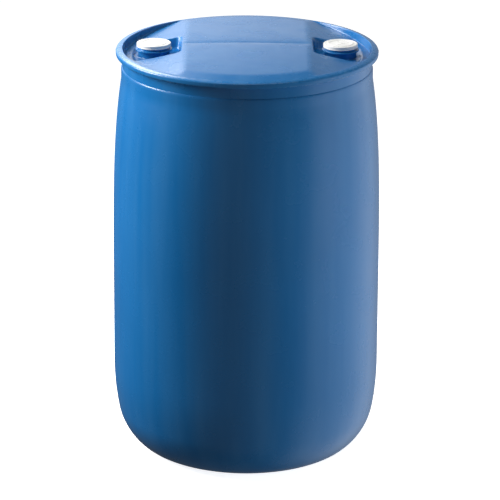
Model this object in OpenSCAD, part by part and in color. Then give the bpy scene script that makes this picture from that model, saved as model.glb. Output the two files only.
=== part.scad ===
// Tight-head plastic chemical drum: a blow-moulded shell with an L-shaped handling ring,
// two threaded necks in recessed pockets, and the closures that seal them.
// Millimetres, +Z up. The origin is the centre of the foot circle, on the floor.
// The raised deck runs front to back (Y); the necks lie left (-X) and right (+X) of it.

/* [Shell] */
// Greatest outside diameter of the shell
body_d = 585; // [580:1:592]
// Height from the floor to the crown of the domed deck
drum_h = 920; // [896:1:946]
// Wall thickness of the shell
wall = 4; // [3:0.5:5]
// Height below which the shell narrows towards the floor
low_taper_z = 190; // [170:5:220]
// Height above which the shell narrows towards the neck
high_taper_z = 250; // [240:5:400]
// Outside diameter of the flat foot
foot_d = 412; // [400:1:430]

/* [Handling ring] */
// Outside diameter of the ring
ring_d = 569; // [566:1:571]
// Inside diameter of the ring, above the wings of the head
ring_bore_d = 538; // [536:1:539]
// Outside diameter of the neck that the ring overhangs
neck_d = 546; // [544:1:548]

/* [Head] */
// Half the width of the raised deck
deck_half = 133; // [130:1:135]
// Slope of the wings on both sides of the deck, in degrees
wing_angle = 12; // [10.5:0.5:12]
// Distance from the drum's axis to the axis of each closure
bung_x = 202; // [201:0.5:203]
// Depth of the pockets' floor below the deck's crown
pocket_depth = 32; // [31:0.5:33]

/* [Closures] */
// Outside diameter of the white cap seals
seal_d = 74; // [73.8:0.1:75]
// Thread pitch of the left plug
left_pitch = 2.309; // [2.309:0.001:3]
// Thread pitch of the right plug
right_pitch = 4; // [3.5:0.5:4]
// Thread pitch of the small vent plug in the right plug
vent_pitch = 1.814; // [1.814:0.001:2]

/* [Hidden] */
$fn = 96;
body_r = body_d / 2;
foot_r = foot_d / 2;
ring_r = ring_d / 2;
ring_bore_r = ring_bore_d / 2;
neck_r = neck_d / 2;

// Shell outline
push_up = 12;              // height of the concave centre of the bottom
push_up_r = 160;           // radius of the flat centre of the bottom
foot_in_r = foot_r - 26;   // inner edge of the flat foot
corner_z = 90;             // height of the rounded bottom corner
low_taper = 33;            // how much the lower taper takes off the radius
shoulder_z = drum_h - 79;  // where the upper taper meets the neck
step_z = drum_h - 51.5;    // small step part way up the neck
step = 2;                  // radius lost at that step
high_power = 4.6;          // how late the upper taper curves in

// Head and ring outline, from the deck's crown outwards
deck_r = 241;              // crease at the deck's rim
deck_fall = 7;             // rise of the deck's dome above that crease
wing_drop = 4;             // start of the wings below the deck's crown
crest_r = 275.5;           // outer end of the bevel
crest_fall = 12.5;
ring_edge = 4;             // rounding of the ring's outer edges
ring_bottom = drum_h - 26.5;
ring_top = drum_h - 18;    // upper end of the ring's upright face
head_t = 5;                // thickness of the head
web_r = 263;               // inside of the shell behind the ring
pocket_x = 140;            // inner wall of each pocket
pocket_half = 68;          // half the pocket's width
pocket_corner = 18;
pocket_end_r = 252;        // pocket's outer wall, an arc about the drum's axis

// Necks and closures, heights measured from the pocket floor up to the seal's roof
floor_z = drum_h - pocket_depth;
neck_top = drum_h - 6;
seat_z = neck_top - 2.5;   // gasket seat, sunk into the neck's mouth
seat_r = 33.4;
boss_r = 34.6;             // neck's wall below its lip
lip_r = 35.6;              // lip that the cap seal snaps over
lip_h = 3;
collar_r = 40;             // wide collar round the foot of the neck
collar_z = drum_h - 17.5;
collar_h = 3;
boss_foot = floor_z - 13;  // inner end of the neck, inside the drum
gasket_t = 1.5;
flange_z = seat_z + gasket_t;
flange_t = 3.6;
flange_r = 33.1;
plug_foot = flange_z - 18;
recess_r = 22;
roof_z = flange_z + flange_t + 0.4;
roof_t = 1.2;
skirt_t = 1.2;
skirt_foot = neck_top - 3.6;
seal_edge = 0.8;           // bevel round the seal's roof
bead = [27, 24.5, 0.5];    // outer and inner radius and height of the bead on the roof
bead_slope = 0.4;
tab = [12, 9, 1.4];        // width, length and thickness of the pull tab

// Major and minor thread radii of the plugs; each neck's bore clears the major radius
left_thread = [29.6, 28.3];
right_thread = [28, 26.2];
vent_thread = [13.2, 12.3];
run_gap = 0.1;
groove = 1.2;              // depth of the thread grooves in the necks
thread_h = 16;             // height of the threaded part of each neck
lug = [4.5, 4, 13];        // wrench lugs in the left plug: depth, width and height
rib = [3, 11];             // ribs in the right plug: width and height
web_t = 4;                 // thickness of the large plugs' floor
vent_top = flange_z - 0.4; // top of the vent's boss
vent_boss_r = 17.5;
vent_gasket_t = 1.2;
vent_flange_z = vent_top + vent_gasket_t;
vent_flange_t = 2.4;
vent_flange_r = 16.8;
vent_foot = vent_flange_z - 14.5;

// Radius of the outside of the shell at height z
function shell_r(z) =
    z < low_taper_z
        ? body_r - low_taper * pow(1 - z / low_taper_z, 2) - corner_cut(z)
        : z < high_taper_z
            ? body_r
            : body_r - (body_r - neck_r)
              * pow((z - high_taper_z) / (shoulder_z - high_taper_z), high_power);

// What the rounded bottom corner takes off the radius: a quarter of an ellipse
function corner_cut(z) =
    z < corner_z
        ? (body_r - low_taper - foot_r) * (1 - sqrt(1 - pow(1 - z / corner_z, 2)))
        : 0;

// Heights at which the outline is drawn: close together in the corner, wider above
corner_heights = [for (a = [0:7.5:82.5]) corner_z * (1 - cos(a))];
low_heights = [for (i = [0:7]) corner_z + (low_taper_z - corner_z) * i / 7];
high_heights = [for (i = [0:14]) high_taper_z + (shoulder_z - high_taper_z) * i / 14];
side_points = [for (z = concat(corner_heights, low_heights, high_heights)) [shell_r(z), z]];

// Outline inside the shell: each point moved one wall along the inward normal
function shift(p, i) =
    let (a = p[max(i - 1, 0)], b = p[min(i + 1, len(p) - 1)], d = b - a)
    p[i] + wall * [-d[1], d[0]] / norm(d);
inner_points = [for (i = [1:len(side_points) - 1]) shift(side_points, i)];

// A ring of points on a quarter circle about [r, z], from angle a0 to a1
function arc(r, z, rad, a0, a1) =
    [for (i = [0:4]) let (a = a0 + (a1 - a0) * i / 4) [r + rad * cos(a), z + rad * sin(a)]];

// Section of the deck's dome from its rim to the axis, lowered by drop
function dome(drop) =
    [for (i = [8:-1:0]) [deck_r * i / 8, drum_h - drop - deck_fall * pow(i / 8, 2)]];

module shell_outside() {
    rotate_extrude($fn = 128) polygon(concat(
        [[0, push_up], [push_up_r, push_up], [foot_in_r, 0]],
        side_points,
        [[neck_r, step_z - step], [neck_r - step, step_z], [neck_r - step, ring_bottom - 2]],
        arc(ring_r - ring_edge, ring_bottom + ring_edge, ring_edge, -90, 0),
        arc(ring_r - ring_edge, ring_top, ring_edge, 0, 70),
        [[crest_r, drum_h - crest_fall]],
        dome(0)));
}

// Everything above the wing on one side, inside the ring; drop lowers the plane
module wing_space(side, drop, r) {
    fall = tan(wing_angle);
    start = drum_h - wing_drop - drop;
    intersection() {
        cylinder(r = r, h = drum_h + 20);
        rotate([90, 0, 0]) linear_extrude(2 * r, center = true) polygon([
            [side * deck_half, start],
            [side * (r + 10), start - (r + 10 - deck_half) * fall],
            [side * (r + 10), drum_h + 20],
            [side * deck_half, drum_h + 20],
            [side * (deck_half - wing_drop / fall), drum_h - drop]]);
    }
}

// Pocket round one neck, grown on all sides by grow, with its floor at z
module pocket_space(side, grow, z) {
    inner = pocket_x - grow;
    half = pocket_half + grow;
    rad = pocket_corner + grow;
    intersection() {
        cylinder(r = pocket_end_r + grow, h = drum_h + 20);
        translate([0, 0, z]) linear_extrude(drum_h + 20 - z) {
            translate([side > 0 ? inner + rad : -pocket_end_r - 20, -half])
                square([pocket_end_r + 20 - inner - rad, 2 * half]);
            translate([side > 0 ? inner : -inner - rad - 1, -half + rad])
                square([rad + 1, 2 * (half - rad)]);
            for (s = [-1, 1]) translate([side * (inner + rad), s * (half - rad)]) circle(r = rad);
        }
    }
}

module shell_inside() {
    difference() {
        rotate_extrude($fn = 128) polygon(concat(
            [[0, push_up + wall], [push_up_r - wall, push_up + wall], [foot_in_r - wall, wall]],
            [for (p = inner_points) if (p[1] > wall) p],
            [[neck_r - wall - step, step_z - step - wall], [web_r, step_z],
             [web_r, drum_h - crest_fall - head_t]],
            dome(head_t)));
        for (side = [-1, 1]) {
            wing_space(side, head_t, body_r);
            pocket_space(side, head_t, floor_z - head_t);
        }
    }
}

// Outside of one neck, standing on the pocket's floor and reaching into the drum
module neck_boss() {
    translate([0, 0, boss_foot]) cylinder(r = boss_r, h = neck_top - boss_foot);
    translate([0, 0, collar_z]) cylinder(r = collar_r, h = collar_h);
    translate([0, 0, neck_top - lip_h]) cylinder(r = lip_r, h = lip_h);
}

// Bore of one neck, with the gasket's seat and the thread's grooves
module neck_bore(thread, pitch) {
    bore_r = thread[0] + run_gap;
    turns = floor(thread_h / pitch);
    translate([0, 0, boss_foot - 1]) cylinder(r = bore_r, h = drum_h - boss_foot);
    translate([0, 0, seat_z]) cylinder(r = seat_r, h = drum_h);
    for (i = [1:turns]) translate([0, 0, seat_z - i * pitch - 1])
        rotate_extrude() polygon([
            [bore_r - 1, -pitch * 0.3], [bore_r, -pitch * 0.3],
            [bore_r + groove, 0], [bore_r, pitch * 0.3], [bore_r - 1, pitch * 0.3]]);
}

module drum_shell() {
    color("#2a72b5") difference() {
        union() {
            difference() {
                shell_outside();
                shell_inside();
                for (side = [-1, 1]) {
                    wing_space(side, 0, ring_bore_r);
                    pocket_space(side, 0, floor_z);
                }
            }
            for (side = [-1, 1]) translate([side * bung_x, 0, 0]) neck_boss();
        }
        translate([-bung_x, 0, 0]) neck_bore(left_thread, left_pitch);
        translate([bung_x, 0, 0]) neck_bore(right_thread, right_pitch);
    }
}

// Threaded stem: a cylinder with one ridge for each turn of thread
module stem(thread, pitch, foot, top) {
    turns = floor((top - foot - 1) / pitch);
    translate([0, 0, foot]) cylinder(r = thread[1], h = top - foot);
    for (i = [1:turns]) translate([0, 0, foot + (i - 0.3) * pitch])
        rotate_extrude() polygon([
            [thread[1] - 1, -pitch * 0.4], [thread[1], -pitch * 0.4],
            [thread[0], -pitch * 0.12], [thread[0], pitch * 0.12],
            [thread[1], pitch * 0.4], [thread[1] - 1, pitch * 0.4]]);
}

// Flange, stem and open recess that the two large plugs share
module large_plug(thread, pitch) {
    difference() {
        union() {
            stem(thread, pitch, plug_foot, flange_z);
            translate([0, 0, flange_z]) cylinder(r = flange_r, h = flange_t);
        }
        translate([0, 0, plug_foot + web_t]) cylinder(r = recess_r, h = drum_h);
    }
}

module left_plug() {
    lugs = 8;
    color("#e8e6de") translate([-bung_x, 0, 0]) {
        large_plug(left_thread, left_pitch);
        for (i = [0:lugs - 1]) rotate([0, 0, i * 360 / lugs])
            translate([recess_r + 1 - lug[0], -lug[1] / 2, plug_foot + web_t - 1]) cube(lug);
    }
}

module right_plug() {
    ribs = 6;
    color("#e8e6de") translate([bung_x, 0, 0]) difference() {
        union() {
            large_plug(right_thread, right_pitch);
            translate([0, 0, plug_foot]) cylinder(r = vent_boss_r, h = vent_top - plug_foot);
            for (i = [0:ribs - 1]) rotate([0, 0, i * 360 / ribs])
                translate([vent_boss_r - 1, -rib[0] / 2, plug_foot + web_t - 1])
                    cube([recess_r - vent_boss_r + 2, rib[0], rib[1]]);
        }
        translate([0, 0, plug_foot - 1]) cylinder(r = vent_thread[0] + run_gap, h = drum_h);
    }
}

module vent_plug() {
    socket_flats = 12;
    color("#d9d7cf") translate([bung_x, 0, 0]) difference() {
        union() {
            stem(vent_thread, vent_pitch, vent_foot, vent_flange_z);
            translate([0, 0, vent_flange_z]) cylinder(r = vent_flange_r, h = vent_flange_t);
        }
        translate([0, 0, vent_foot + 5])
            cylinder(r = socket_flats / sqrt(3), h = drum_h, $fn = 6);
    }
}

// Flat sealing ring
module sealing_ring(x, z, t, r_in, r_out) {
    translate([x, 0, z]) difference() {
        cylinder(r = r_out, h = t);
        translate([0, 0, -1]) cylinder(r = r_in, h = t + 2);
    }
}

module left_plug_gasket() {
    color("#2b2b2b") sealing_ring(-bung_x, seat_z, gasket_t, left_thread[0] + 0.2, flange_r);
}

module right_plug_gasket() {
    color("#2b2b2b") sealing_ring(bung_x, seat_z, gasket_t, right_thread[0] + 0.2, flange_r);
}

module vent_plug_gasket() {
    color("#2b2b2b") sealing_ring(bung_x, vent_top, vent_gasket_t, vent_thread[0] + 0.2, vent_flange_r);
}

// Snap-on cap seal: a thin dish with a raised bead on its roof and a pull tab behind its skirt
module cap_seal(side) {
    seal_r = seal_d / 2;
    top = roof_z + roof_t;
    color("white") translate([side * bung_x, 0, 0]) {
        rotate_extrude() polygon([
            [0, roof_z], [seal_r - skirt_t, roof_z], [seal_r - skirt_t, skirt_foot],
            [seal_r, skirt_foot], [seal_r, top - seal_edge], [seal_r - seal_edge, top],
            [bead[0], top], [bead[0] - bead_slope, top + bead[2]],
            [bead[1] + bead_slope, top + bead[2]], [bead[1], top], [0, top]]);
        difference() {
            translate([-tab[0] / 2, seal_r - 1, skirt_foot]) cube([tab[0], tab[1] + 1, tab[2]]);
            translate([0, 0, skirt_foot - 1]) cylinder(r = seal_r - skirt_t / 2, h = tab[2] + 2);
        }
    }
}

module left_cap_seal() {
    cap_seal(-1);
}

module right_cap_seal() {
    cap_seal(1);
}

drum_shell();
left_plug();
left_plug_gasket();
left_cap_seal();
right_plug();
right_plug_gasket();
right_cap_seal();
vent_plug();
vent_plug_gasket();
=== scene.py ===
"""Looks of the plastic chemical drum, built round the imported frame. Shapes are in mm, in its axes."""
import math

import bmesh
import bpy
import numpy as np
from mathutils import Matrix, Vector
from mathutils.geometry import delaunay_2d_cdt


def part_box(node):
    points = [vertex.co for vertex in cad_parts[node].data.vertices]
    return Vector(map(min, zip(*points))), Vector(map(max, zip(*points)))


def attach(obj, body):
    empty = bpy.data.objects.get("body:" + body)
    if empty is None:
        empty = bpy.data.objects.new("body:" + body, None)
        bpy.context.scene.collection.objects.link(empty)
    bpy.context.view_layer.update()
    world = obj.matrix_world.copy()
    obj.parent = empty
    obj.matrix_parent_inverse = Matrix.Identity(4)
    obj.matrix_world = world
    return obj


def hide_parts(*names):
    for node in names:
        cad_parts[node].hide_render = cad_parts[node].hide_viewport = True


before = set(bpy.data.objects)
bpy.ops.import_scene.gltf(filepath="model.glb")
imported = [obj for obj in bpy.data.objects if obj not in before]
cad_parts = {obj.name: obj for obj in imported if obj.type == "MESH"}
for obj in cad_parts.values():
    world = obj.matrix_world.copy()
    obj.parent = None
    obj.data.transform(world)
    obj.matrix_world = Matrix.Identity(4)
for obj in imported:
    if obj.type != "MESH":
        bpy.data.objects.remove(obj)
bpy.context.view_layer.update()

MM = 0.001
FULL = 2 * math.pi
SAME = 1e-6  # lengths closer than this are equal


# ------------------------------------------------------------ sizes measured on the frame
def measured(node):
    """Middle x, radius towards the front, lowest and highest z of a CAD node, to a tenth of a mm."""
    low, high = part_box(node)
    return [round(v / MM, 1) for v in ((low.x + high.x) / 2, -low.y, low.z, high.z)]


_, BODY_R, _, H = measured("drum_shell")  # H is the crown of the deck
LEFT_X, FLANGE_R, PLUG_FOOT, _ = measured("left_plug")
RIGHT_X = measured("right_plug")[0]
_, _, SEAT_Z, FLANGE_Z = measured("left_plug_gasket")
_, SEAL_R, SKIRT_FOOT, _ = measured("left_cap_seal")
_, VENT_FLANGE_R, VENT_FOOT, _ = measured("vent_plug")
_, _, VENT_TOP, VENT_FLANGE_Z = measured("vent_plug_gasket")

# ------------------------------------------------------------ sizes that follow the CAD, with finer edges
# Bottom and wall
FOOT_R, FOOT_IN_R = 206, 180          # flat ring that the drum stands on
PUSH_UP, PUSH_UP_R = 12, 150          # height of the hollow bottom, and radius of its level middle, which
                                      # is 10 less than in the CAD, to leave room for a rounded slope
CORNER_Z = 90                         # height of the rounded bottom corner
LOW_TAPER, LOW_TAPER_Z = 33, 190      # radius lost towards the floor, and the height where that begins
HIGH_TAPER_Z, HIGH_POWER = 250, 4.6   # height where the upper taper begins, and how late it curves in
SHOULDER_Z, NECK_R = H - 79, 273      # where the upper taper meets the neck
STEP, STEP_Z, STEP_ROUND = 2, H - 51.5, 8  # small step in the neck: depth, top and height of its rounding
WALL, HEAD_T = 4, 5                   # thickness of the wall and of the head
INNER_R, WEB_R = 261, 263             # edge of the head's underside, and inside of the shell behind the ring
RIDGE, RIDGE_WIDTH = 0.45, 0.9        # parting ridge of the mould

# Handling ring
RING_R, RING_EDGE = 284.5, 4
RING_LOW, RING_HIGH = H - 26.5, H - 18
CREST_R, CREST_FALL = 275.5, 12.5     # outer end of the bevel, and its depth below the crown
BORE_R, BORE_SLOPE = 269, 1.5         # upright wall from the wings up to the bevel
JOIN_R = 272                          # where the head's mesh meets the turned outside

# Head
DECK_R, DECK_FALL = 241, 7            # crease at the deck's rim, and its depth below the crown
BEVEL = (CREST_FALL - DECK_FALL) / (CREST_R - DECK_R)
DECK_HALF = 133                       # half the width of the deck, between its creases with the wings
WING_SLOPE, WING_CURVE = 0.255, 0.0003
RIM_SOFT, CREASE_SOFT = 0.8, 1.8      # rounding of the deck's rim and of the creases
SEAM_DEPTH, SEAM_WIDTH = 1.6, 14      # shallow valley across the deck where the mould halves met
FLOOR_Z = H - 32                      # floor of the pockets
POCKET_X, POCKET_HALF, POCKET_RAD = 140, 68, 18  # inner wall, half the length, corner radius
POCKET_END, POCKET_SOFT, POCKET_WALL = 252, 14, 11  # outer wall, its corners' rounding, run of the walls
POCKET_MID, POCKET_REACH = 198, 120   # a point in each pocket, and more than the way from it to a wall

# Necks
NECK_TOP = H - 6
BOSS_FOOT, COLLAR_Z = FLOOR_Z - 13, H - 17.5
SEAT_R, BOSS_R, LIP_R, COLLAR_R = 33.4, 34.6, 35.6, 40
HOLE_R = 44                           # where each neck's mesh meets the pocket's floor
COLLAR_H, COLLAR_EDGE, FILLET = 3, 0.7, 2.5  # wide collar round the neck, and the fillet at the neck's foot
RUN_GAP, GROOVE, THREAD_H = 0.1, 1.2, 17  # threads: clearance, depth and height of the bore's grooves
THREAD_ROW = 0.33                     # height of one row of a thread's mesh

# Closures
THREADS = {"left": (29.6, 28.3, 2.309), "right": (28, 26.2, 4), "vent": (13.2, 12.3, 1.814)}  # radii, pitch
FLANGE_T, VENT_FLANGE_T, FLANGE_EDGE = 3.6, 2.4, 0.6
RECESS_R, FLOOR_T = 22, 4             # recess in the large plugs, and the floor under it
LUGS, LUG, LUG_HALF = 8, 3.4, 2.8     # wrench lugs in the left plug: number, depth, half width
RIBS, RIB_H, RIB_HALF, RIB_R = 6, 10, 1.9, 19  # ribs in the right plug: number, height, half width, radius
VENT_BOSS_R, VENT_BOSS_H = 17.5, 15
VENT_GROOVE = 0.7                     # depth of the thread grooves in the vent's bore
SOCKET_FLATS = 12                     # hexagonal socket in the vent plug, across its flats
GASKET_GAP, GASKET_EDGE = 0.2, 0.3    # gap round the stem, and rounding
ROOF_Z, ROOF_T, SKIRT_T = FLANGE_Z + FLANGE_T + 0.4, 1.2, 1.2
SEAL_EDGE, SEAL_RIBS, SEAL_RIB = 1.6, 90, 0.22  # rounded edge, and number and depth of the skirt's grooves
TAB_LONG, TAB_HALF, TAB_T, TAB_RIDGE = 8.4, 6.0, 1.4, 0.18  # length, half width, thickness, ridges


# ------------------------------------------------------------ mesh tools
def smooth(t):
    """0 below 0, 1 above 1 and a smooth rise between."""
    t = np.clip(t, 0, 1)
    return t * t * t * (t * (6 * t - 15) + 10)


def soft_min(a, b, k):
    """The smaller of a and b, with the corner between them rounded over k."""
    h = np.clip(0.5 + 0.5 * (b - a) / k, 0, 1)
    return b + (a - b) * h - k * h * (1 - h)


def arc(r, z, rad, start, end, steps):
    """Points on a circle of radius rad about (r, z), angles in degrees."""
    turn = np.radians(np.linspace(start, end, steps + 1))
    return [(r + rad * math.cos(t), z + rad * math.sin(t)) for t in turn]


def rows_between(a, b, step):
    """Points from a to b, both included, no further apart than step."""
    count = max(1, math.ceil(math.dist(a, b) / step))
    return [(a[0] + (b[0] - a[0]) * i / count, a[1] + (b[1] - a[1]) * i / count) for i in range(count + 1)]


def even(count, extra=()):
    """Angles all round, evenly spaced, and the extra ones between them."""
    return np.unique(np.round(np.concatenate([np.arange(count) * FULL / count, np.array(extra) % FULL]), 9))


def off_spoke(angles, count, radius):
    """Distance round a circle from the nearest of count evenly spaced spokes."""
    return np.abs((angles * count / FULL + 0.5) % 1 - 0.5) * FULL / count * radius


def lathe(rows, angles, centre=(0, 0), shape=None):
    """Turned surface of the outline rows about a vertical axis; shape(r, z, angles) may change r and z."""
    verts, faces, starts = [], [], []
    for r, z in rows:
        starts.append(len(verts))
        if r < SAME:
            verts.append((centre[0], centre[1], z))
            continue
        rr, zz = np.full(len(angles), float(r)), np.full(len(angles), float(z))
        if shape:
            rr, zz = shape(rr, zz, angles)
        verts.extend(zip(centre[0] + rr * np.cos(angles), centre[1] + rr * np.sin(angles), zz))
    n = len(angles)
    for i in range(len(rows) - 1):
        low, high = starts[i], starts[i + 1]
        for k in range(n):
            nxt = (k + 1) % n
            if rows[i][0] < SAME:
                faces.append((low, high + nxt, high + k))
            elif rows[i + 1][0] < SAME:
                faces.append((low + k, low + nxt, high))
            else:
                faces.append((low + k, low + nxt, high + nxt, high + k))
    return verts, faces


def piece(name, surfaces, body, nodes, material, sharp=40):
    """One closed mesh of these surfaces, joined where they share points, riding on a body."""
    mesh = bpy.data.meshes.new(name)
    bm = bmesh.new()
    for verts, faces in surfaces:
        made = [bm.verts.new((x * MM, y * MM, z * MM)) for x, y, z in verts]
        for f in faces:
            bm.faces.new([made[i] for i in f])
    bmesh.ops.remove_doubles(bm, verts=bm.verts, dist=0.002 * MM)
    bmesh.ops.recalc_face_normals(bm, faces=bm.faces)
    for f in bm.faces:
        f.smooth = True
    bm.to_mesh(mesh)
    bm.free()
    mesh.set_sharp_from_angle(angle=math.radians(sharp))
    obj = bpy.data.objects.new(name, mesh)
    bpy.context.scene.collection.objects.link(obj)
    mesh.materials.append(material)
    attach(obj, body)
    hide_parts(*nodes)
    return obj


def points_mm(mesh):
    """The mesh's points, one row each, in mm."""
    co = np.zeros(len(mesh.vertices) * 3)
    mesh.vertices.foreach_get("co", co)
    return co.reshape(-1, 3) / MM


# ------------------------------------------------------------ head: height at (x, y)
def pocket_edge(x, y):
    """Signed distance to the nearer pocket's outline, negative inside."""
    a = POCKET_X + POCKET_RAD - np.abs(x)
    b = np.abs(y) - (POCKET_HALF - POCKET_RAD)
    straight = np.hypot(np.maximum(a, 0), np.maximum(b, 0)) + np.minimum(np.maximum(a, b), 0) - POCKET_RAD
    return -soft_min(-straight, POCKET_END - np.hypot(x, y), POCKET_SOFT)


def head_z(x, y):
    """Height of the head: the domed deck, the wings beside it, the bevel round it and the pockets."""
    r = np.hypot(x, y)
    deck = H - DECK_FALL * (r / DECK_R) ** 2
    deck = deck - SEAM_DEPTH * np.exp(-np.abs(y) / SEAM_WIDTH)
    bevel = H - DECK_FALL - (r - DECK_R) * BEVEL
    top = soft_min(deck, bevel, RIM_SOFT)
    u = np.abs(x) - DECK_HALF
    crease = H - DECK_FALL * (DECK_HALF ** 2 + y * y) / DECK_R ** 2
    wing = crease - u * (WING_SLOPE - WING_CURVE * u)
    base = soft_min(top, wing, CREASE_SOFT)
    base = base + (bevel - base) * smooth((r - BORE_R) / (2 * BORE_SLOPE) + 0.5)
    depth = np.maximum(base - FLOOR_Z, 0)
    return base - depth * (1 - smooth(pocket_edge(x, y) / POCKET_WALL + 1))


def from_necks(x, y):
    """Distance from the nearer neck's axis."""
    return np.minimum(np.hypot(x - LEFT_X, y), np.hypot(x - RIGHT_X, y))


# ------------------------------------------------------------ head: mesh
CELL = 4                                                 # side of the cells that points are looked up in
BORE_ROWS = (1.15, 0.7, 0.3, 0, -0.3, -0.7, -1.15)       # across the upright wall, in parts of its slope
CREASE_ROWS = (-9, -5, -2.5, 0, 2.5, 5, 9)               # across each crease between deck and wing
RIM_ROWS = (-8, -4, -1.5, 0.5, 3, 7, 14)                 # across the deck's rim
SEAM_ROWS, SEAM_END = (0, 1.5, 4, 8, 14, 22), 122        # on each side of the seam, and their half length
BORDER = 4                                               # left free of rows inside the rim or the bore
# Spacing on the outside and on the hidden underside: between a pocket's loops, points in a loop,
# between points along a crease, every how many angles round the deck, and between grid lines
FINE = {"pocket": 1.0, "loop": 200, "crease": 4.0, "every": 1, "grid": 6.0}
COARSE = {"pocket": 3.0, "loop": 80, "crease": 9.0, "every": 3, "grid": 10.0}


class Points:
    """Points of a flat triangulation, none too close to those added before."""

    def __init__(self):
        self.xy, self.cells = [], {}

    def near(self, p, gap):
        reach = int(gap // CELL) + 1
        i, j = int(p[0] // CELL), int(p[1] // CELL)
        for a in range(i - reach, i + reach + 1):
            for b in range(j - reach, j + reach + 1):
                for q in self.cells.get((a, b), ()):
                    if (q[0] - p[0]) ** 2 + (q[1] - p[1]) ** 2 < gap * gap:
                        return True
        return False

    def add(self, group, gap):
        """Add those of the group that are at least gap from every earlier point, and return them."""
        group = [p for p in group if not self.near(p, gap)]
        for p in group:
            self.cells.setdefault((int(p[0] // CELL), int(p[1] // CELL)), []).append(p)
        self.xy.extend(group)
        return group


def circle(r, angles, cx=0.0):
    return [(cx + r * math.cos(t), r * math.sin(t)) for t in angles]


def within(group, r):
    return [p for p in group if math.hypot(*p) < r]


def pocket_loop(side, offset, count):
    """Points of the pocket's outline moved outwards by offset, found by halving along rays from inside."""
    t = np.arange(count) * FULL / count
    cx, low, high = side * POCKET_MID, np.zeros(count), np.full(count, float(POCKET_REACH))
    halvings = 40
    for _ in range(halvings):
        mid = (low + high) / 2
        out = pocket_edge(cx + mid * np.cos(t), mid * np.sin(t)) > offset
        low, high = np.where(out, low, mid), np.where(out, mid, high)
    return list(zip(cx + low * np.cos(t), low * np.sin(t)))


def add_pocket_rows(pts, top, spacing):
    """Loops down the pockets' walls, from just outside the edge to just past the foot of the wall."""
    for side in (-1, 1):
        for offset in np.arange(-POCKET_WALL - 1, 2.1, spacing["pocket"]):
            pts.add(within(pocket_loop(side, offset, spacing["loop"]), top), gap=0.7)


def add_crease_rows(pts, top, spacing):
    """Rows along the creases between deck and wings, round the deck's rim and along the seam."""
    spans = np.arange(-top, top, spacing["crease"])
    for u in CREASE_ROWS:
        for side in (-1, 1):
            pts.add(within([(side * (DECK_HALF + u), y) for y in spans], top), gap=1.5)
    for u in RIM_ROWS:
        pts.add(within(circle(DECK_R + u, SHELL_ANGLES[::spacing["every"]]), top), gap=1.8)
    for v in SEAM_ROWS:
        for sign in (-1, 1) if v else (1,):
            pts.add([(x, sign * v) for x in np.arange(-SEAM_END, SEAM_END + 0.1, 4.0)], gap=1.2)


def add_grid(pts, top, spacing):
    """Grid over what is left, with every other row shifted."""
    grid = np.arange(-JOIN_R, JOIN_R, spacing["grid"])
    cells = [(x + (3 if j % 2 else 0), y) for j, y in enumerate(grid) for x in grid]
    pts.add([p for p in within(cells, top) if from_necks(*p) > HOLE_R], gap=3.5)


def head_sheet(rim_r, drop, spacing):
    """Triangulated top of the head inside rim_r, with a hole round each neck, lowered by drop."""
    pts = Points()
    loops = [pts.add(circle(rim_r, SHELL_ANGLES), gap=0)]
    for cx in (LEFT_X, RIGHT_X):
        loops.append(pts.add(circle(HOLE_R, NECK_ANGLES, cx), gap=0))
        pts.add(circle(HOLE_R + 2, NECK_ANGLES[::2], cx), gap=1)
    if rim_r > BORE_R:
        for part in BORE_ROWS:
            pts.add(circle(BORE_R + BORE_SLOPE * part, SHELL_ANGLES), gap=0.3)
        pts.add(circle(BORE_R - BORDER, SHELL_ANGLES), gap=1)
    top = min(rim_r, BORE_R) - BORDER
    add_pocket_rows(pts, top, spacing)
    add_crease_rows(pts, top, spacing)
    add_grid(pts, top, spacing)
    edges, first = [], {p: i for i, p in enumerate(pts.xy)}
    for loop in loops:
        edges += [(first[loop[k]], first[loop[(k + 1) % len(loop)]]) for k in range(len(loop))]
    inside_loops = 1  # the output type without triangles outside the rim
    flat, _, faces, *_ = delaunay_2d_cdt([Vector(p) for p in pts.xy], edges, [], inside_loops, SAME)
    xy = np.array([tuple(p) for p in flat])
    z = head_z(xy[:, 0], xy[:, 1]) - drop
    keep = [f for f in faces if from_necks(*xy[list(f)].mean(0)) > HOLE_R - 0.2]
    return [(x, y, h) for (x, y), h in zip(xy.tolist(), z.tolist())], keep


# ------------------------------------------------------------ shell
# Extra angles beside the parting ridge, at both sides of the drum
RIDGE_ANGLES = [s * d / BODY_R + t for t in (0, math.pi) for d in (0.55, 1.1, 2.0) for s in (-1, 1)]
SHELL_ANGLES = even(320, RIDGE_ANGLES)
NECK_ANGLES = even(96)


def shell_r(z):
    """Outside radius of the wall at height z, up to the neck."""
    if z < LOW_TAPER_Z:
        corner = 0
        if z < CORNER_Z:
            corner = (BODY_R - LOW_TAPER - FOOT_R) * (1 - math.sqrt(1 - (1 - z / CORNER_Z) ** 2))
        return BODY_R - LOW_TAPER * (1 - z / LOW_TAPER_Z) ** 2 - corner
    if z < HIGH_TAPER_Z:
        return BODY_R
    return BODY_R - (BODY_R - NECK_R) * ((z - HIGH_TAPER_Z) / (SHOULDER_Z - HIGH_TAPER_Z)) ** HIGH_POWER


def side_heights():
    """Heights of the wall's rows, closest in the bottom corner."""
    corner = [CORNER_Z * (1 - math.cos(t)) for t in np.linspace(0, math.pi / 2, 25)]
    straight = np.arange(CORNER_Z + 10, HIGH_TAPER_Z + 1, 15)
    taper = np.linspace(HIGH_TAPER_Z + 10, SHOULDER_Z, 48)
    return corner + list(straight) + list(taper)


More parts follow.
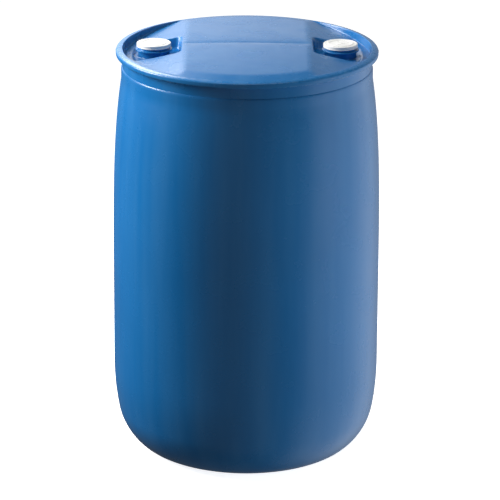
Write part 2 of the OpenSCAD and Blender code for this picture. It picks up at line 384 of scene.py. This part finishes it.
def parting_ridge(r, z, angles):
    """A fine ridge where the two mould halves met, at both sides and across the bottom."""
    ridge = RIDGE * np.exp(-(np.abs(np.sin(angles)) * r / RIDGE_WIDTH) ** 2)
    if z[0] < PUSH_UP + 0.1 and r[0] < FOOT_IN_R - 4:
        return r, z - 2 * ridge * (z[0] > 3)
    return r + ridge * smooth((z[0] - 4) / 20), z


def outside_rows():
    """Outline of the shell from the middle of the bottom up and over the ring to the bevel."""
    rows = [(0, PUSH_UP)] + rows_between((25, PUSH_UP), (PUSH_UP_R, PUSH_UP), 30)
    for t in np.linspace(0, 1, 11)[1:]:
        rows.append((PUSH_UP_R + (FOOT_IN_R - PUSH_UP_R) * t, PUSH_UP * (1 - float(smooth(t)))))
    rows += [(FOOT_IN_R + 10, 0), (FOOT_IN_R + 18, 0)]
    rows += [(shell_r(z), z) for z in side_heights()]
    rows += [(NECK_R, SHOULDER_Z + 6)]
    for t in np.radians(np.arange(0, 91, 11.25)):
        rows.append((NECK_R - STEP * (1 - math.cos(t)), STEP_Z - STEP_ROUND * (1 - math.sin(t))))
    rows += [(NECK_R - STEP, z) for z in (STEP_Z + 3, STEP_Z + 12, RING_LOW - 2.6)]
    rows += arc(NECK_R - STEP + 2, RING_LOW - 2, 2, 180, 90, 4)
    rows += arc(RING_R - RING_EDGE, RING_LOW + RING_EDGE, RING_EDGE, -90, 0, 7)
    rows += arc(RING_R - RING_EDGE, RING_HIGH, RING_EDGE, 0, 66, 6)
    crest = H - CREST_FALL
    rows += [(CREST_R + 1.6, crest - 0.42), (CREST_R, crest - 0.06), (CREST_R - 1.4, crest + 0.19)]
    return rows + [(JOIN_R, H - DECK_FALL - (JOIN_R - DECK_R) * BEVEL)]


def inside_rows():
    """Outline of the shell's inside, one wall in from the outside, up to behind the ring."""
    rows = [(0, PUSH_UP + WALL), (PUSH_UP_R - WALL, PUSH_UP + WALL), (FOOT_IN_R - WALL, WALL)]
    side = [(shell_r(z), z) for z in side_heights()[::2]]
    for before, here, after in zip(side, side[1:], side[2:]):
        dr, dz = after[0] - before[0], after[1] - before[1]
        size = math.hypot(dr, dz)
        p = (here[0] - WALL * dz / size, here[1] + WALL * dr / size)
        if p[1] > WALL:
            rows.append(p)
    return rows + [(NECK_R - WALL - STEP, STEP_Z - STEP - WALL), (WEB_R, STEP_Z), (WEB_R, STEP_Z + 5)]


def inside_surface():
    """The inner wall, whose last loop follows the underside of the head."""
    verts, faces = lathe(inside_rows(), SHELL_ANGLES)
    n, low = len(SHELL_ANGLES), len(verts) - len(SHELL_ANGLES)
    x, y = INNER_R * np.cos(SHELL_ANGLES), INNER_R * np.sin(SHELL_ANGLES)
    verts += list(zip(x, y, head_z(x, y) - HEAD_T))
    faces += [(low + k, low + (k + 1) % n, low + n + (k + 1) % n, low + n + k) for k in range(n)]
    return verts, faces


def thread_wave(z, angles, pitch):
    """0 between threads and 1 on the crest of a right-hand thread; a crest takes 0.43 of the pitch."""
    phase = (z / pitch - angles / FULL) % 1.0
    return smooth(1.9 - 4.2 * np.abs(phase - 0.5))


def neck_surface(side):
    """One neck, with its collar, its lip for the seal, the gasket's seat and the threaded bore."""
    major, _, pitch = THREADS[side]
    bore = major + RUN_GAP

    def bored(r, z, angles):
        if abs(r[0] - bore) > SAME:
            return r, z
        fade = smooth((SEAT_Z - 1 - z) / 2) * smooth((z - SEAT_Z + THREAD_H) / 2)
        return r + GROOVE * thread_wave(z, angles, pitch) * fade, z

    e = COLLAR_EDGE
    rows = [(HOLE_R, FLOOR_Z), (40, FLOOR_Z)] + arc(BOSS_R + FILLET, FLOOR_Z + FILLET, FILLET, 270, 180, 5)
    rows += [(BOSS_R, COLLAR_Z - 0.8), (BOSS_R + 0.8, COLLAR_Z)]
    rows += arc(COLLAR_R - e, COLLAR_Z + e, e, -90, 0, 3)
    rows += arc(COLLAR_R - e, COLLAR_Z + COLLAR_H - e, e, 0, 90, 3)
    rows += [(BOSS_R + 0.8, COLLAR_Z + COLLAR_H), (BOSS_R, COLLAR_Z + 3.8), (BOSS_R, NECK_TOP - 3)]
    rows += [(LIP_R - 0.3, NECK_TOP - 2.9), (LIP_R, NECK_TOP - 2.4)]
    rows += [(LIP_R, NECK_TOP - 0.6), (LIP_R - 0.6, NECK_TOP)]
    rows += [(SEAT_R + 0.4, NECK_TOP), (SEAT_R, NECK_TOP - 0.4), (SEAT_R, SEAT_Z), (bore + 0.8, SEAT_Z)]
    rows += rows_between((bore, SEAT_Z - 0.8), (bore, BOSS_FOOT + 0.8), THREAD_ROW)
    rows += [(bore + 0.8, BOSS_FOOT), (BOSS_R, BOSS_FOOT)]
    rows += [(BOSS_R, FLOOR_Z - HEAD_T), (HOLE_R, FLOOR_Z - HEAD_T)]
    return lathe(rows, NECK_ANGLES, (LEFT_X if side == "left" else RIGHT_X, 0), bored)


def head_normals(mesh):
    """Exact normals on top of the head, from the slope of head_z, so that its soft creases shade cleanly."""
    count = len(mesh.loops)
    vert, sizes = np.zeros(count, np.int32), np.zeros(len(mesh.polygons), np.int32)
    lifts = np.zeros(len(mesh.polygons) * 3)
    mesh.loops.foreach_get("vertex_index", vert)
    mesh.polygons.foreach_get("loop_total", sizes)
    mesh.polygons.foreach_get("normal", lifts)
    faces_up = np.repeat(lifts.reshape(-1, 3)[:, 2] > 0, sizes)
    x, y, z = points_mm(mesh)[vert].T
    on_top = (np.abs(z - head_z(x, y)) < 0.02) & (np.hypot(x, y) < JOIN_R - 0.01)
    on_top &= (from_necks(x, y) > HOLE_R - 0.05) & faces_up
    d = 0.02
    slope_x = (head_z(x + d, y) - head_z(x - d, y)) / (2 * d)
    slope_y = (head_z(x, y + d) - head_z(x, y - d)) / (2 * d)
    exact = np.stack([-slope_x, -slope_y, np.ones(count)], 1)
    exact /= np.linalg.norm(exact, axis=1)[:, None]
    normals = np.array([tuple(n.vector) for n in mesh.corner_normals])
    normals[on_top] = exact[on_top]
    mesh.normals_split_custom_set(normals.tolist())


def wear_marks(mesh):
    """How rubbed each point is: most on the ring's edges and the foot, less on the creases, 0 on walls."""
    x, y, z = points_mm(mesh).T
    r = np.hypot(x, y)
    edges = [  # radius, height, width, amount
        (CREST_R + 0.5, H - CREST_FALL, 1.8, 1),
        (RING_R - 0.9, RING_HIGH + 2.6, 2, 1),
        (RING_R - 1, RING_LOW + 1, 2, 0.9),
        (NECK_R - 0.8, STEP_Z - 2, 3, 0.15),
        (FOOT_R + 4, 0, 9, 0.8),
    ]
    worn = np.exp(-((np.abs(x) - DECK_HALF) / 4) ** 2) * 0.5 * (z > H - 14) * (r < BORE_R)
    for edge_r, edge_z, width, amount in edges:
        worn = np.maximum(worn, amount * np.exp(-((r - edge_r) ** 2 + (z - edge_z) ** 2) / width ** 2))
    made = mesh.attributes.new("wear", "FLOAT", "POINT")
    made.data.foreach_set("value", worn.astype(np.float32))


def drum_body(material):
    """The whole blow-moulded shell: outside, head, necks, underside of the head and inner wall."""
    surfaces = [lathe(outside_rows(), SHELL_ANGLES, shape=parting_ridge), head_sheet(JOIN_R, 0, FINE)]
    surfaces += [neck_surface("left"), neck_surface("right")]
    surfaces += [head_sheet(INNER_R, HEAD_T, COARSE), inside_surface()]
    shell = piece("drum_body", surfaces, "shell", ["drum_shell"], material)
    wear_marks(shell.data)
    head_normals(shell.data)


# ------------------------------------------------------------ closures
def stem_rows(thread, foot, top):
    """Threaded side of a plug's stem, from its foot to its flange."""
    minor = THREADS[thread][1]
    rows = rows_between((minor, foot + 0.8), (minor, top - 0.6), THREAD_ROW)
    return [(minor - 0.8, foot)] + rows + [(minor, top)]


def threaded(thread, foot, top, more):
    """Shape for lathe that raises the stem's thread between foot and top, and leaves other rows to more."""
    major, minor, pitch = THREADS[thread]

    def shape(r, z, angles):
        if abs(r[0] - minor) < SAME and foot < z[0] < top:
            fade = smooth((z - foot - 0.5) / 1.5) * smooth((top - z - 0.5) / 1.5)
            return r + (major - minor) * thread_wave(z, angles, pitch) * fade, z
        return more(r, z, angles)
    return shape


def flange_rows(r, z, t):
    e = FLANGE_EDGE
    return [(r - e / 2, z), (r, z + e / 2), (r, z + t - e), (r - e * 0.3, z + t - e * 0.3), (r - e, z + t)]


def left_plug(material):
    """Plug with wrench lugs standing in its recess."""
    top, floor, lug_top = FLANGE_Z + FLANGE_T, PLUG_FOOT + FLOOR_T, FLANGE_Z - 2

    def lugged(r, z, angles):
        if abs(r[0] - RECESS_R) < 0.9 and z[0] < lug_top:
            sides = smooth((LUG_HALF - off_spoke(angles, LUGS, RECESS_R)) / 1.2)
            return r - LUG * sides * float(smooth((lug_top - z[0]) / 1.2)), z
        return r, z
    rows = [(0, PLUG_FOOT)] + stem_rows("left", PLUG_FOOT, FLANGE_Z)
    rows += flange_rows(FLANGE_R, FLANGE_Z, FLANGE_T) + [(RECESS_R + 1, top), (RECESS_R, top - 1)]
    rows += rows_between((RECESS_R, lug_top), (RECESS_R, lug_top - 1.2), 0.4)
    rows += [(RECESS_R, floor + 0.8), (RECESS_R - 0.8, floor), (12, floor), (0, floor)]
    sides = [(i + s * w / (RECESS_R * FULL / LUGS)) * FULL / LUGS for i in range(LUGS)
             for w in (LUG_HALF - 1.2, LUG_HALF - 0.6, LUG_HALF) for s in (-1, 1)]
    surface = lathe(rows, even(96, sides), (LEFT_X, 0), threaded("left", PLUG_FOOT, FLANGE_Z, lugged))
    piece("left_plug_body", [surface], "left_plug", ["left_plug"], material)


def right_plug(material):
    """Plug with a threaded boss for the vent plug, held by ribs."""
    top, floor, boss_top = FLANGE_Z + FLANGE_T, PLUG_FOOT + FLOOR_T, PLUG_FOOT + VENT_BOSS_H
    major, _, pitch = THREADS["vent"]
    bore = major + RUN_GAP

    def ribbed(r, z, angles):
        if VENT_BOSS_R - 0.1 < r[0] < RECESS_R + 0.1 and abs(z[0] - floor) < 0.1:
            return r, z + RIB_H * smooth((RIB_HALF - off_spoke(angles, RIBS, RIB_R)) / 0.7)
        if abs(r[0] - bore) < SAME and z[0] < VENT_TOP - 1:
            fade = smooth((VENT_TOP - 1 - z) / 1.5)
            return r + VENT_GROOVE * thread_wave(z, angles, pitch) * fade, z
        return r, z
    rows = [(bore + 0.6, PLUG_FOOT)] + stem_rows("right", PLUG_FOOT, FLANGE_Z)
    rows += flange_rows(FLANGE_R, FLANGE_Z, FLANGE_T)
    rows += [(RECESS_R + 1, top), (RECESS_R, top - 1), (RECESS_R, boss_top), (RECESS_R - 0.01, floor)]
    rows += [(19.8, floor), (VENT_BOSS_R + 0.01, floor), (VENT_BOSS_R, boss_top)]
    rows += [(VENT_BOSS_R, VENT_TOP - 0.6), (VENT_BOSS_R - 0.6, VENT_TOP), (bore + 0.6, VENT_TOP)]
    rows += rows_between((bore, VENT_TOP - 0.6), (bore, PLUG_FOOT + 0.6), THREAD_ROW)
    rows += [(bore + 0.6, PLUG_FOOT)]
    sides = [i * FULL / RIBS + s * w / RIB_R for i in range(RIBS)
             for w in (RIB_HALF - 0.7, RIB_HALF - 0.35, RIB_HALF) for s in (-1, 1)]
    surface = lathe(rows, even(96, sides), (RIGHT_X, 0), threaded("right", PLUG_FOOT, FLANGE_Z, ribbed))
    piece("right_plug_body", [surface], "right_plug", ["right_plug"], material)


def vent_plug(material):
    """Small plug with a hexagonal socket."""
    half, top, floor = SOCKET_FLATS / 2, VENT_FLANGE_Z + VENT_FLANGE_T, VENT_FOOT + 5

    def socket(r, z, angles):
        if abs(r[0] - half) < SAME:
            return r / np.cos((angles + FULL / 12) % (FULL / 6) - FULL / 12), z
        return r, z
    rows = [(0, VENT_FOOT)] + stem_rows("vent", VENT_FOOT, VENT_FLANGE_Z)
    rows += flange_rows(VENT_FLANGE_R, VENT_FLANGE_Z, VENT_FLANGE_T)
    rows += [(9.2, top), (8.6, top - 0.5), (7.4, top - 0.5), (half, top - 0.5), (half, floor)]
    rows += [(3, floor), (0, floor)]
    surface = lathe(rows, even(96), (RIGHT_X, 0), threaded("vent", VENT_FOOT, VENT_FLANGE_Z, socket))
    piece("vent_plug_body", [surface], "vent_plug", ["vent_plug"], material)


def gasket(side, x, low, high, r_out, material):
    """Flat sealing ring with rounded edges, round a plug's stem."""
    e, r_in = GASKET_EDGE, THREADS[side][0] + GASKET_GAP
    rows = arc(r_out - e, low + e, e, -90, 0, 3) + arc(r_out - e, high - e, e, 0, 90, 3)
    rows += arc(r_in + e, high - e, e, 90, 180, 3) + arc(r_in + e, low + e, e, 180, 270, 3)
    surface = lathe(rows + [(r_out - e, low)], even(96), (x, 0))
    nodes = [side + "_plug_gasket"]
    piece(side + "_gasket_ring", [surface], side + "_gasket", nodes, material)


def seal_roof_rows(top):
    """Top of a seal from its rounded edge to its middle: two raised rings and a boss, all plain."""
    sunk, rim = top - 0.35, top - 0.3
    rows = arc(SEAL_R - SEAL_EDGE, top - SEAL_EDGE, SEAL_EDGE, 8, 90, 7)
    rows += [(33.2, top), (32.8, sunk), (28, sunk), (27.6, top), (27.2, top + 0.4), (26.7, top + 0.5)]
    rows += [(25.1, top + 0.5), (24.6, top + 0.4), (24.2, top), (23.8, rim), (9, rim), (8.6, top)]
    rows += [(8, top + 0.2), (6.2, top + 0.2), (5.6, top), (2.2, top), (1.8, top + 0.3), (0, top + 0.3)]
    return rows


def cap_seal(side, x, material):
    """White snap-on seal: a thin dish with rounded edges, plain raised rings and a finely ribbed skirt."""
    top, inner, foot = ROOF_Z + ROOF_T, SEAL_R - SKIRT_T, SKIRT_FOOT
    edge_z = top - SEAL_EDGE

    def ribbed(r, z, angles):
        if abs(r[0] - SEAL_R) < SAME and foot + 1.2 < z[0] < edge_z - 0.3:
            return r - SEAL_RIB * smooth(np.abs((angles * SEAL_RIBS / FULL) % 1 - 0.5) * 5 - 0.7), z
        return r, z
    rows = [(0, ROOF_Z), (inner - 0.6, ROOF_Z), (inner, ROOF_Z - 0.6), (inner, foot + 0.3)]
    rows += [(inner + 0.3, foot), (SEAL_R - 0.1, foot)]
    rows += [(SEAL_R + 0.25, foot + 0.3), (SEAL_R + 0.25, foot + 0.9)]
    rows += [(SEAL_R, z) for z in (foot + 1.15, foot + 1.5, edge_z - 0.6, edge_z)]
    surface = lathe(rows + seal_roof_rows(top), even(720), (x, 0), ribbed)
    nodes = [side + "_cap_seal"]
    piece(side + "_cap_seal_dish", [surface], side + "_seal", nodes, material, 30)
    pull_tab(side, x, material)


def pull_tab(side, x, material):
    """Rounded tab at the back of the skirt, with grip ridges, drawn as a closed strip of cross-sections."""
    stations, corners = 43, 12
    verts, faces = [], []
    for s in np.linspace(0, 1, stations):
        y = SEAL_R - 0.6 + s * TAB_LONG
        half = TAB_HALF * (1 - 0.12 * s) * math.sqrt(max(1e-4, 1 - max(0.0, (s - 0.62) / 0.38) ** 2))
        ridge = TAB_RIDGE * float(smooth(1.5 * math.sin(s * 38) - 0.3)) * (0.3 < s < 0.85)
        for k in range(corners):
            a = FULL * k / corners + FULL / (2 * corners)
            px = math.copysign(abs(math.cos(a)) ** 0.35, math.cos(a)) * half
            pz = math.copysign(abs(math.sin(a)) ** 0.5, math.sin(a)) * TAB_T / 2
            verts.append((x + px, y, SKIRT_FOOT + TAB_T / 2 + pz + (ridge if pz > 0 else 0)))
    for i in range(0, len(verts) - corners, corners):
        ends = [(i + k, i + (k + 1) % corners) for k in range(corners)]
        faces += [(a, b, b + corners, a + corners) for a, b in ends]
    faces += [tuple(range(corners)), tuple(range(len(verts) - 1, len(verts) - 1 - corners, -1))]
    piece(side + "_cap_seal_tab", [(verts, faces)], side + "_seal", [], material, 50)


# ------------------------------------------------------------ materials
class Mat:
    """Short way to write a node material."""

    def __init__(self, name):
        self.m = bpy.data.materials.new(name)
        self.m.use_nodes = True
        self.t = self.m.node_tree
        self.p = self.t.nodes["Principled BSDF"]
        self.co = self.node("ShaderNodeTexCoord").outputs["Object"]

    def node(self, kind, **values):
        n = self.t.nodes.new(kind)
        for k, v in values.items():
            if k in n.inputs:
                n.inputs[k].default_value = v
            else:
                setattr(n, k, v)
        return n

    def link(self, a, b):
        self.t.links.new(a, b)

    def put(self, socket, value):
        """Give an input a number, a colour or another node's output."""
        if isinstance(value, bpy.types.NodeSocket):
            self.link(value, socket)
        else:
            socket.default_value = (*value, 1) if isinstance(value, tuple) else value

    def noise(self, scale, detail, stretch=None, rough=0.5):
        """Noise with scale cells to the metre, closer together along an axis whose stretch is over 1."""
        n = self.node("ShaderNodeTexNoise", Scale=scale, Detail=detail, Roughness=rough)
        source = self.co
        if stretch:
            move = self.node("ShaderNodeMapping")
            move.inputs["Scale"].default_value = stretch
            self.link(self.co, move.inputs["Vector"])
            source = move.outputs["Vector"]
        self.link(source, n.inputs["Vector"])
        return n.outputs["Fac"]

    def ramp(self, source, low, high, a=0.0, b=1.0):
        """source going from low to high, turned into a to b."""
        n = self.node("ShaderNodeMapRange")
        for k, v in (("From Min", low), ("From Max", high), ("To Min", a), ("To Max", b)):
            n.inputs[k].default_value = v
        self.link(source, n.inputs["Value"])
        return n.outputs["Result"]

    def mix(self, fac, a, b):
        n = self.node("ShaderNodeMix", data_type="RGBA")
        for index, value in ((0, fac), (6, a), (7, b)):  # the colour mix's factor, A and B
            self.put(n.inputs[index], value)
        return n.outputs[2]

    def math(self, op, a, b):
        n = self.node("ShaderNodeMath", operation=op)
        self.put(n.inputs[0], a)
        self.put(n.inputs[1], b)
        return n.outputs[0]

    def bump(self, height, strength, distance, under=None):
        n = self.node("ShaderNodeBump", Strength=strength, Distance=distance)
        self.link(height, n.inputs["Height"])
        if under:
            self.link(under, n.inputs["Normal"])
        return n.outputs["Normal"]


def moulded(name, base, deep, light, rough):
    """Blow-moulded polyethylene: slow colour drift, faint upright flow lines, fine grain, rubbed edges."""
    m = Mat(name)
    drift = m.ramp(m.noise(4, 4), 0.3, 0.7)
    flow = m.ramp(m.noise(26, 4, (1, 1, 0.06)), 0.35, 0.7)
    colour = m.mix(drift, base, deep)
    colour = m.mix(m.math("MULTIPLY", flow, 0.18), colour, light)
    wear = m.node("ShaderNodeAttribute", attribute_name="wear").outputs["Fac"]
    rub = m.math("MULTIPLY", wear, m.ramp(m.noise(90, 5), 0.35, 0.68))
    scuff = m.ramp(m.noise(55, 6, (1, 1, 9), 0.7), 0.66, 0.78)
    scuff = m.math("MULTIPLY", scuff, m.ramp(m.noise(5, 2), 0.5, 0.7, 0, 0.35))
    marks = m.math("MAXIMUM", m.math("MULTIPLY", rub, 0.3), m.math("MULTIPLY", scuff, 0.5))
    m.link(m.mix(marks, colour, light), m.p.inputs["Base Color"])
    spread = m.ramp(m.noise(14, 5), 0.3, 0.7, rough - 0.035, rough + 0.035)
    m.link(m.math("ADD", spread, m.math("MULTIPLY", marks, 0.22)), m.p.inputs["Roughness"])
    m.p.inputs["IOR"].default_value = 1.5
    peel = m.bump(m.noise(130, 2), 0.05, 1.2 * MM)
    grain = m.bump(m.noise(1500, 2), 0.12, 0.25 * MM, peel)
    waves = m.bump(m.noise(7, 2, (1, 1, 0.4)), 0.12, 4 * MM, grain)
    m.link(waves, m.p.inputs["Normal"])
    return m.m


def small_plastic(name, base, tint, rough, grain):
    """Injection-moulded closure plastic with slight tone changes, uneven gloss and grain."""
    m = Mat(name)
    colour = m.mix(m.ramp(m.noise(40, 4), 0.35, 0.7), base, tint)
    m.link(colour, m.p.inputs["Base Color"])
    m.link(m.ramp(m.noise(120, 5), 0.3, 0.7, rough - 0.06, rough + 0.08), m.p.inputs["Roughness"])
    soft = m.bump(m.noise(300, 2), 0.03, 0.4 * MM)
    m.link(m.bump(m.noise(2400, 2), grain, 0.2 * MM, soft), m.p.inputs["Normal"])
    return m.m


def rubber(name):
    """Matte black elastomer with a dusty grain."""
    m = Mat(name)
    dust = m.ramp(m.noise(200, 4), 0.3, 0.7)
    m.link(m.mix(dust, (0.018, 0.018, 0.019), (0.035, 0.034, 0.033)), m.p.inputs["Base Color"])
    m.link(m.ramp(m.noise(500, 3), 0.3, 0.7, 0.55, 0.75), m.p.inputs["Roughness"])
    m.link(m.bump(m.noise(1800, 2), 0.3, 0.2 * MM), m.p.inputs["Normal"])
    return m.m


# ------------------------------------------------------------ floor, light and camera
# Bright parts of the surroundings: direction, cosines where each starts and is full, brightness.
# all_round is full at a cosine below -1, so it is the same in every direction.
LOBES = {
    "behind": ((0, 1, 0.15), 0.9, 0.985, 0.15),
    "behind_left": ((-0.35, 1, 0.25), 0.9, 0.98, 1.15),
    "right_low": ((0.94, 0.15, -0.4), 0.55, 0.96, 0.83),
    "rear_right_low": ((0.6, 0.8, -0.2), 0.6, 0.95, 0.3),
    "front_low": ((0, -1, -0.4), 0.6, 0.95, 0.12),
    "all_round": ((0, 0, 1), -1.2, -1.1, 0.09),
}
# Softboxes, in metres: place, target, width, height, watts, whether they show in gloss
BOXES = {
    "key_left": ((-1.9, 0.15, 1.6), (-0.25, 0, 0.55), 0.9, 1.3, 78, True),
    "key_back": ((-0.809, 1.401, 2.096), (0, 0, 0.92), 0.75, 0.7, 18, True),
    "top": ((0, -0.35, 2.6), (0, -0.1, 0.9), 1.3, 1.1, 9, True),
    "fill_right": ((1.8, -0.59, 0.45), (0.25, 0, 0.5), 0.9, 0.9, 14, False),
}


def floor():
    m = Mat("floor_pale")
    tone = m.ramp(m.noise(2, 3), 0.3, 0.7)
    m.link(m.mix(tone, (0.86, 0.86, 0.86), (0.84, 0.84, 0.84)), m.p.inputs["Base Color"])
    m.p.inputs["Roughness"].default_value = 0.9
    m.p.inputs["Specular IOR Level"].default_value = 0.1
    m.p.inputs["Emission Color"].default_value = (1, 1, 1, 1)
    m.p.inputs["Emission Strength"].default_value = 0.88
    mesh = bpy.data.meshes.new("floor")
    bm = bmesh.new()
    bmesh.ops.create_grid(bm, x_segments=4, y_segments=4, size=30)
    bm.to_mesh(mesh)
    bm.free()
    obj = bpy.data.objects.new("floor", mesh)
    bpy.context.scene.collection.objects.link(obj)
    mesh.materials.append(m.m)
    obj.location.z = -0.5 * MM
    obj.visible_diffuse = obj.visible_glossy = False  # the surroundings light the drum, not the floor


def softbox(name, place, target, width, height, watts, gloss):
    light = bpy.data.lights.new(name, "AREA")
    light.shape, light.size, light.size_y = "RECTANGLE", width, height
    light.energy = watts
    obj = bpy.data.objects.new(name, light)
    bpy.context.scene.collection.objects.link(obj)
    obj.location = place
    obj.rotation_mode = "QUATERNION"
    obj.rotation_quaternion = (Vector(target) - Vector(place)).to_track_quat("-Z", "Y")
    obj.visible_glossy, obj.visible_camera = gloss, False


def surroundings():
    """World as bright as the sum of the lobes, and plain white where the background itself is seen."""
    world = bpy.data.worlds.new("studio")
    bpy.context.scene.world = world
    world.use_nodes = True
    tree = world.node_tree
    back = tree.nodes["Background"]
    direction = tree.nodes.new("ShaderNodeTexCoord").outputs["Generated"]
    total = None
    for axis, start, full, strength in LOBES.values():
        dot = tree.nodes.new("ShaderNodeVectorMath")
        dot.operation = "DOT_PRODUCT"
        dot.inputs[1].default_value = Vector(axis).normalized()
        tree.links.new(direction, dot.inputs[0])
        lobe = tree.nodes.new("ShaderNodeMapRange")
        lobe.interpolation_type = "SMOOTHSTEP"
        for key, value in (("From Min", start), ("From Max", full), ("To Min", 0.0), ("To Max", strength)):
            lobe.inputs[key].default_value = value
        tree.links.new(dot.outputs["Value"], lobe.inputs["Value"])
        if total is None:
            total = lobe.outputs["Result"]
        else:
            add = tree.nodes.new("ShaderNodeMath")
            tree.links.new(total, add.inputs[0])
            tree.links.new(lobe.outputs["Result"], add.inputs[1])
            total = add.outputs[0]
    seen = tree.nodes.new("ShaderNodeLightPath")
    mix = tree.nodes.new("ShaderNodeMix")
    tree.links.new(seen.outputs["Is Camera Ray"], mix.inputs[0])
    tree.links.new(total, mix.inputs[2])   # what lights the drum
    mix.inputs[3].default_value = 1.0      # what the camera sees
    tree.links.new(mix.outputs[0], back.inputs["Strength"])
    back.inputs["Color"].default_value = (1, 1, 1, 1)


def camera():
    """A long lens in front of the drum, which looks down on it; lengths in metres, angles in radians."""
    distance, height = 6.990, 2.7986
    pitch, yaw, roll = 0.3248, -0.0012, 0.0053
    data = bpy.data.cameras.new("camera")
    data.sensor_width = 36
    data.lens = 240.3864
    data.clip_end = 100
    obj = bpy.data.objects.new("camera", data)
    bpy.context.scene.collection.objects.link(obj)
    obj.location = (0, -distance, height)
    tilt = Matrix.Rotation(math.pi / 2 - pitch, 3, "X")
    turn = Matrix.Rotation(yaw, 3, "Z") @ tilt @ Matrix.Rotation(roll, 3, "Z")
    obj.rotation_euler = turn.to_euler()
    bpy.context.scene.camera = obj


# ------------------------------------------------------------ the scene
SHELL_BLUE = moulded("shell_blue_hdpe", (0.005, 0.158, 0.44), (0.004, 0.146, 0.41), (0.08, 0.27, 0.54), 0.26)
SEAL_WHITE = small_plastic("seal_white_plastic", (0.90, 0.90, 0.87), (0.87, 0.87, 0.84), 0.3, 0.04)
PLUG_WHITE = small_plastic("plug_natural_plastic", (0.74, 0.73, 0.67), (0.68, 0.67, 0.61), 0.42, 0.2)
GASKET_BLACK = rubber("gasket_black_rubber")

drum_body(SHELL_BLUE)
left_plug(PLUG_WHITE)
right_plug(PLUG_WHITE)
vent_plug(PLUG_WHITE)
gasket("left", LEFT_X, SEAT_Z, FLANGE_Z, FLANGE_R, GASKET_BLACK)
gasket("right", RIGHT_X, SEAT_Z, FLANGE_Z, FLANGE_R, GASKET_BLACK)
gasket("vent", RIGHT_X, VENT_TOP, VENT_FLANGE_Z, VENT_FLANGE_R, GASKET_BLACK)
cap_seal("left", LEFT_X, SEAL_WHITE)
cap_seal("right", RIGHT_X, SEAL_WHITE)
floor()
for box_name, box in BOXES.items():
    softbox(box_name, *box)
surroundings()
camera()
bpy.context.scene.view_settings.view_transform = "Standard"
